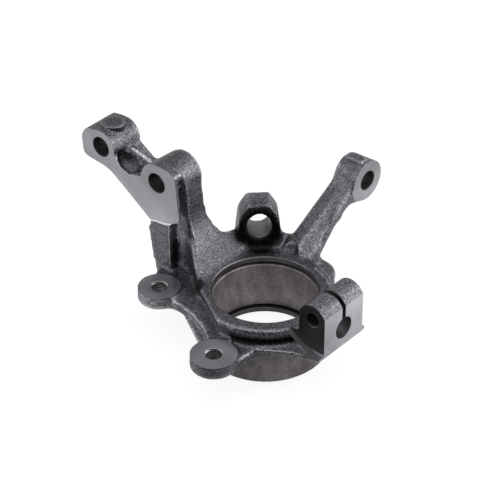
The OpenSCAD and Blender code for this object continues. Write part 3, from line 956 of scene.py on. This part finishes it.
def shade(tree, colour, *factors):
    """A colour multiplied by grey factors."""
    level = factors[0]
    for factor in factors[1:]:
        level = calc(tree, "MULTIPLY", level, factor)
    node = add(tree, "VectorMath", operation="SCALE", Scale=level)
    node.inputs[0].default_value = colour[:3]
    return node.outputs[0]


def bump(tree, height, distance, strength, under=None):
    node = add(tree, "Bump", Height=height, Distance=distance, Strength=strength)
    if under is not None:
        tree.links.new(under, node.inputs["Normal"])
    return node.outputs[0]


def metal(tree, surface, tint, metallic, rough, normal):
    """Shows metal of a tint, a roughness and a normal that come from sockets."""
    shader = add(tree, "BsdfPrincipled", Base_Color=tint, Metallic=metallic, Roughness=rough, Normal=normal)
    tree.links.new(shader.outputs[0], surface)


def cast_finish(colour):
    """Sand-cast iron: fine grain and dark pits, with painted highlights on bulging edges, painted shade in creases
    and hollows, and painted light where the hollow value is below zero.
    """
    material, tree, surface = new_material("cast_iron_skin")
    where = object_place(tree)
    grain = noise(tree, where, 1350, 3, 0.6)
    coarse = noise(tree, where, 620, 3, 0.6)
    patches = noise(tree, where, 40, 4, 0.55)
    bulge = add(tree, "Attribute", attribute_name="bulge_for_painted_light").outputs["Fac"]
    depth = add(tree, "Attribute", attribute_name="hollow_for_painted_shade").outputs["Fac"]
    ragged = calc(tree, "MULTIPLY", calc(tree, "SUBTRACT", coarse, 0.5), 0.12)
    tint = shade(
        tree, colour,
        remap(tree, grain, 0.36, 0.66, 0.3, 1.85),
        remap(tree, coarse, 0.35, 0.65, 0.7, 1.3),
        remap(tree, patches, 0.3, 0.7, 0.86, 1.14),
        # painted highlight on bulging edges, frayed by noise
        remap(tree, calc(tree, "ADD", bulge, ragged), 0.02, 0.12, 1.0, 2.25),
        # painted shade in creases
        remap(tree, bulge, -0.2, -0.03, 0.5, 1.0),
        # painted shade in hollows
        remap(tree, depth, 0.15, 2.0, 1.0, 0.08),
        # painted light where the hollow value is below zero
        remap(tree, depth, -1.0, 0.0, 5.0, 1.0),
    )
    normal = bump(tree, grain, 0.3 * MM, 1.0, bump(tree, coarse, 0.2 * MM, 0.9))
    metal(tree, surface, tint, 0.95, remap(tree, coarse, 0.3, 0.7, 0.24, 0.36), normal)
    return material


def milled_finish(name, colour, level):
    """Face-milled iron: almost flat, with faint cutter arcs and a little stain, and darker higher up."""
    material, tree, surface = new_material(name)
    where = object_place(tree)
    height = add(tree, "SeparateXYZ", Vector=where).outputs["Z"]
    arcs = add(
        tree, "TexWave", wave_type="RINGS", rings_direction="SPHERICAL", Vector=where, Scale=260.0, Distortion=1.5,
        Detail=2.0,
    ).outputs["Fac"]
    stain = noise(tree, where, 55, 4, 0.6)
    fine = noise(tree, where, 1800, 2, 0.5)
    smear = noise(tree, where, 26, 3, 0.5)
    tint = shade(
        tree, [channel * level for channel in colour],
        remap(tree, stain, 0.3, 0.7, 0.88, 1.1),
        remap(tree, fine, 0.3, 0.7, 0.9, 1.08),
        remap(tree, height, 64 * MM, 94 * MM, 1.12, 0.78),
        remap(tree, smear, 0.35, 0.65, 0.88, 1.1),
    )
    normal = bump(tree, fine, 0.03 * MM, 0.5, bump(tree, arcs, 0.01 * MM, 0.5))
    metal(tree, surface, tint, 0.85, remap(tree, stain, 0.3, 0.7, 0.24, 0.34), normal)
    return material


def turned_finish(colour):
    """Turned iron: fine rings round the bore and brownish oil stains."""
    material, tree, surface = new_material("turned_iron")
    where = object_place(tree)
    rings = add(tree, "Mapping", Vector=where, Scale=(0.12, 0.12, 9.0)).outputs[0]
    drops = add(tree, "Mapping", Vector=where, Scale=(1.0, 1.0, 0.45)).outputs[0]
    lines = noise(tree, rings, 420, 2, 0.5)
    stain = noise(tree, drops, 120, 5, 0.65)
    broad = noise(tree, where, 28, 3, 0.5)
    speck = noise(tree, where, 900, 3, 0.6)
    tint = shade(
        tree, colour,
        remap(tree, stain, 0.35, 0.7, 1.25, 0.62),
        remap(tree, lines, 0.3, 0.7, 0.9, 1.1),
        remap(tree, broad, 0.35, 0.65, 0.8, 1.25),
        remap(tree, speck, 0.35, 0.65, 0.78, 1.35),
    )
    rough = remap(tree, stain, 0.3, 0.7, 0.38, 0.5)
    metal(tree, surface, tint, 0.75, rough, bump(tree, lines, 0.02 * MM, 0.6))
    return material


def drilled_finish(name, level, rough):
    """A drilled or reamed hole: darker iron with a soft sheen."""
    material, tree, surface = new_material(name)
    stain = noise(tree, object_place(tree), 180, 4, 0.6)
    tint = shade(tree, (level, level * 0.97, level * 1.02), remap(tree, stain, 0.3, 0.7, 0.75, 1.2))
    rough = remap(tree, stain, 0.3, 0.7, rough, rough + 0.12)
    metal(tree, surface, tint, 0.8, rough, bump(tree, stain, 0.04 * MM, 0.4))
    return material


MILLED_LEVELS = {
    # name of the material, how bright it is beside the milled colour
    "milled": ("milled_iron", 1.0),
    # painted light: a brighter copy of the milled colour on the clamp's front
    "painted_light_front": ("clamp_face_iron", 1.55),
    "faced": ("faced_iron", 1.35),
    "spotted": ("spot_faced_iron", 0.66),
    # painted highlight on the edge of the raised pad
    "painted_highlight": ("painted_highlight_iron", 1.1),
    # painted shade: a near-black copy of the milled colour on the clamp's cheeks
    "painted_shade_sides": ("painted_shade_iron", 0.14),
    "lipped": ("mouth_iron", 0.4),
}
DRILLED_LEVELS = {
    # name of the material, its brightness, its least roughness
    "drilled": ("drilled_iron", 0.13, 0.4),
    "reamed": ("reamed_iron", 0.28, 0.36),
    "threaded": ("threaded_iron", 0.5, 0.22),
    "grooved": ("grooved_iron", 0.05, 0.4),
}


class KNUCKLE_OT_casting(bpy.types.Operator):
    """Builds the casting: blank, fillets, sand skin, machined faces, bores and threads"""

    bl_idname = "knuckle.casting"
    bl_label = "Knuckle Casting"

    def execute(self, context):
        casting = context.scene.knuckle_casting
        machining = context.scene.knuckle_machining
        remove_if_there("knuckle_casting")
        skin = cast_finish(casting.skin_colour)
        finishes = {"turned": turned_finish(machining.turned_colour)}
        for key, (name, level) in MILLED_LEVELS.items():
            finishes[key] = milled_finish(name, machining.milled_colour, level)
        for key, look in DRILLED_LEVELS.items():
            finishes[key] = drilled_finish(*look)

        piece = object_from(blank_mesh(machining.stock), "knuckle_casting", [skin])
        remesh = piece.modifiers.new("skin", "REMESH")
        remesh.mode = "VOXEL"
        remesh.voxel_size = casting.skin_pitch
        soften = piece.modifiers.new("soften", "SMOOTH")
        soften.factor = 0.5
        soften.iterations = casting.edge_passes
        apply_modifiers(piece)
        fillet_inner_corners(piece.data, casting.fillet_passes)
        sandwaves(piece, casting.sand_depth)
        paint_light_and_shade(piece.data)
        # The pad's edge takes a painted highlight, and its wall the dark groove finish as painted shade
        combine(piece, raised_pad(skin, finishes["painted_highlight"], finishes["grooved"]), "UNION")
        machine(piece, machining, finishes)
        for polygon in piece.data.polygons:
            polygon.use_smooth = True
        piece.data.set_sharp_from_angle(angle=math.radians(32))
        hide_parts(NODE)
        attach(piece, "root")
        return {"FINISHED"}


# Stage. The photograph's side, the lens and the middle of the ring's mouth are in pixels

PICTURE_SIDE = 500.0
LENS = 2000.0
MOUTH_IN_PICTURE = (265.46, 288.85)
SENSOR = 36
TABLE_HALF = 3.0
TABLE_GAP = 0.02 * MM
TOP_LIGHT_SIZE = (2.0, 2.0)
SIDE_LIGHT_SIZE = (1.6, 1.0)
SIDE_LIGHT_Z = 0.48
LIT_Z = 0.25


def show(tree, surface, seen, other):
    """Shows one shader to the camera and another to every other ray."""
    mix = tree.nodes.new("ShaderNodeMixShader")
    path = tree.nodes.new("ShaderNodeLightPath")
    for socket, given in zip(mix.inputs, (path.outputs["Is Camera Ray"], other.outputs[0], seen.outputs[0])):
        tree.links.new(given, socket)
    tree.links.new(mix.outputs[0], surface)


def floor_finish(colour, azimuth):
    """A white table that keeps a soft shadow; the colour that reflections see is painted darker towards the camera's
    side, as a painted reflection of that dark side of the studio.
    """
    material, tree, surface = new_material("white_table")
    where = add(tree, "Mapping", Vector=object_place(tree), Rotation=(0, 0, -azimuth)).outputs[0]
    towards = calc(tree, "MULTIPLY", add(tree, "SeparateXYZ", Vector=where).outputs["Y"], -1.0)
    reflected_painted_shade = shade(tree, colour, remap(tree, towards, 10 * MM, 120 * MM, 1.1, 0.1))
    faint = add(tree, "BsdfDiffuse", Color=(0.3, 0.3, 0.3, 1))
    lift = add(tree, "Emission", Color=(1, 1, 1, 1), Strength=0.86)
    both = tree.nodes.new("ShaderNodeAddShader")
    tree.links.new(faint.outputs[0], both.inputs[0])
    tree.links.new(lift.outputs[0], both.inputs[1])
    show(tree, surface, both, add(tree, "BsdfDiffuse", Color=reflected_painted_shade))
    return material


def studio_world():
    """A world that is white to the camera and gives almost no light."""
    world = bpy.data.worlds.new("studio")
    world.use_nodes = True
    tree = world.node_tree
    tree.nodes.clear()
    surface = tree.nodes.new("ShaderNodeOutputWorld").inputs[0]
    seen = add(tree, "Background", Color=(1, 1, 1, 1), Strength=1.0)
    show(tree, surface, seen, add(tree, "Background", Color=(0.9, 0.92, 1.0, 1), Strength=0.05))
    return world


def area_light(name, at, target, size, power):
    light = bpy.data.lights.new(name, "AREA")
    light.shape = "RECTANGLE"
    light.size, light.size_y = size
    light.energy = power
    lamp = bpy.data.objects.new(name, light)
    bpy.context.scene.collection.objects.link(lamp)
    lamp.location = at
    lamp.visible_camera = False
    lamp.rotation_euler = (Vector(target) - Vector(at)).to_track_quat("-Z", "Y").to_euler()


def light_tent(stage):
    """One large light overhead and one on each side but the camera's, turned with the camera."""
    right = Vector((math.cos(stage.azimuth), math.sin(stage.azimuth), 0))
    back = Vector((-math.sin(stage.azimuth), math.cos(stage.azimuth), 0))
    above = right * 0.2 - back * 0.1 + Vector((0, 0, 1.3))
    area_light("top", above, above - Vector((0, 0, 1)), TOP_LIGHT_SIZE, stage.top_power)
    for name, way, share in (("left", -right, 1.1), ("right", right, 1.8), ("back", back * 1.2, 0.56)):
        at = way + Vector((0, 0, SIDE_LIGHT_Z))
        area_light(name, at, (0, 0, LIT_Z), SIDE_LIGHT_SIZE, stage.side_power * share)


def photo_camera(stage):
    """The photograph's camera: a long lens, with the ring's mouth where the photograph has it."""
    level = math.cos(stage.elevation)
    back = Vector((math.sin(stage.azimuth) * level, -math.cos(stage.azimuth) * level, math.sin(stage.elevation)))
    right = Vector((math.cos(stage.azimuth), math.sin(stage.azimuth), 0))
    up = back.cross(right)
    shift_x = (MOUTH_IN_PICTURE[0] - PICTURE_SIDE / 2) / LENS * stage.distance
    shift_y = (PICTURE_SIDE / 2 - MOUTH_IN_PICTURE[1]) / LENS * stage.distance
    data = bpy.data.cameras.new("photo_camera")
    data.sensor_width = SENSOR
    data.lens = SENSOR * LENS / PICTURE_SIDE
    data.clip_start, data.clip_end = 0.05, 20
    camera = bpy.data.objects.new("photo_camera", data)
    bpy.context.scene.collection.objects.link(camera)
    camera.location = Vector((0, 0, MOUTH_Z)) - right * shift_x - up * shift_y + back * stage.distance
    camera.rotation_euler = back.to_track_quat("Z", "Y").to_euler()
    bpy.context.scene.camera = camera


class KNUCKLE_OT_stage(bpy.types.Operator):
    """Sets up the white table, the lights and the photograph's camera"""

    bl_idname = "knuckle.stage"
    bl_label = "Studio"

    def execute(self, context):
        stage = context.scene.knuckle_stage
        bm = bmesh.new()
        bmesh.ops.create_grid(bm, x_segments=1, y_segments=1, size=TABLE_HALF)
        bmesh.ops.translate(bm, vec=(0, 0, FOOT_Z - TABLE_GAP), verts=bm.verts)
        remove_if_there("table")
        table = object_from(bm, "table", [floor_finish(stage.floor_colour, stage.azimuth)])
        context.scene.world = studio_world()
        light_tent(stage)
        photo_camera(stage)
        context.scene.view_settings.view_transform = "Standard"
        return {"FINISHED"}


class KNUCKLE_PT_panel(bpy.types.Panel):
    bl_idname = "KNUCKLE_PT_panel"
    bl_label = "Steering Knuckle"
    bl_space_type = "VIEW_3D"
    bl_region_type = "UI"
    bl_category = "Knuckle"

    def draw(self, context):
        scene = context.scene
        for title, group, operator in (
            ("Casting", scene.knuckle_casting, None),
            ("Machining", scene.knuckle_machining, "knuckle.casting"),
            ("Studio", scene.knuckle_stage, "knuckle.stage"),
        ):
            box = self.layout.box()
            box.label(text=title)
            for name in group.__annotations__:
                box.prop(group, name)
            if operator:
                box.operator(operator)


CLASSES = (
    KnuckleCasting, KnuckleMachining, KnuckleStage, KNUCKLE_OT_casting, KNUCKLE_OT_stage, KNUCKLE_PT_panel,
)


def register():
    for cls in CLASSES:
        bpy.utils.register_class(cls)
    bpy.types.Scene.knuckle_casting = PointerProperty(type=KnuckleCasting)
    bpy.types.Scene.knuckle_machining = PointerProperty(type=KnuckleMachining)
    bpy.types.Scene.knuckle_stage = PointerProperty(type=KnuckleStage)


def unregister():
    del bpy.types.Scene.knuckle_stage
    del bpy.types.Scene.knuckle_machining
    del bpy.types.Scene.knuckle_casting
    for cls in reversed(CLASSES):
        bpy.utils.unregister_class(cls)


def main():
    register()
    bpy.ops.knuckle.stage()
    bpy.ops.knuckle.casting()


if __name__ == "__main__":
    main()
